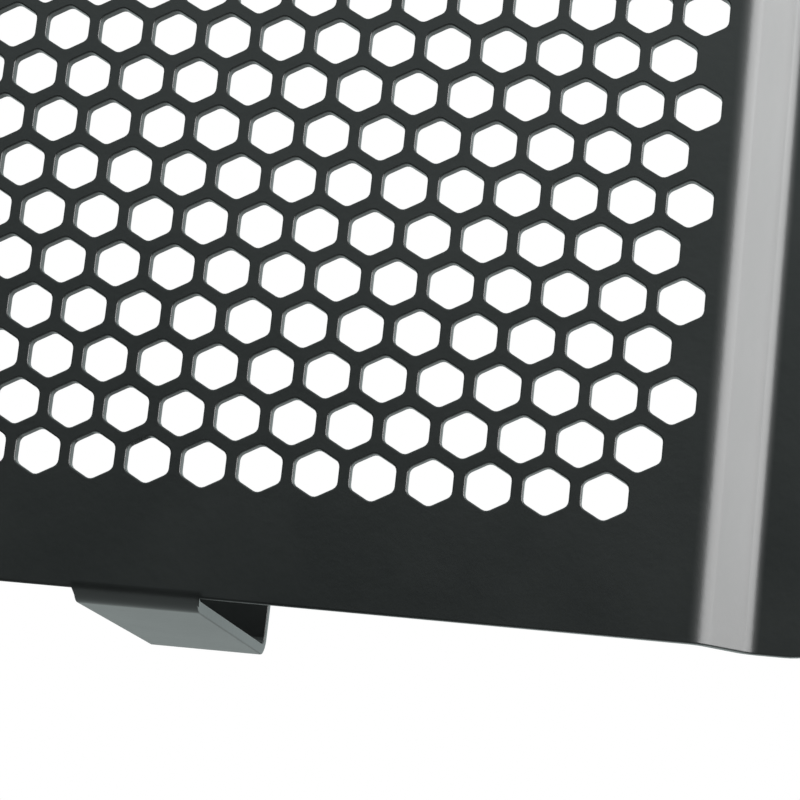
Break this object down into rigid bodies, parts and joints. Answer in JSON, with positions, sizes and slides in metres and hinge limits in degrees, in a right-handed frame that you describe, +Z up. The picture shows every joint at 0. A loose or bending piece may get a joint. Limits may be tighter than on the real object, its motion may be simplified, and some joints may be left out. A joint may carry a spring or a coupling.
{
  "type": "motorcycle radiator guard",
  "caption": "Flat sheet guard with a field of hexagonal holes, set-back side flanges with bolt holes, and hooks folded back from its lower edge.",
  "frame": {"origin": "midway between the two bolt holes' centres, on the plane of the flanges' rear faces", "axes": "+Z up as fitted, front of the guard faces -Y, +X to the right seen from the front"},
  "size_m": [0.2296, 0.0423, 0.1203],
  "materials": {
    "coated_sheet": "satin black powder coat"
  },
  "bodies": {
    "root": {"radiator_guard": "coated_sheet"}
  },
  "joints": []
}
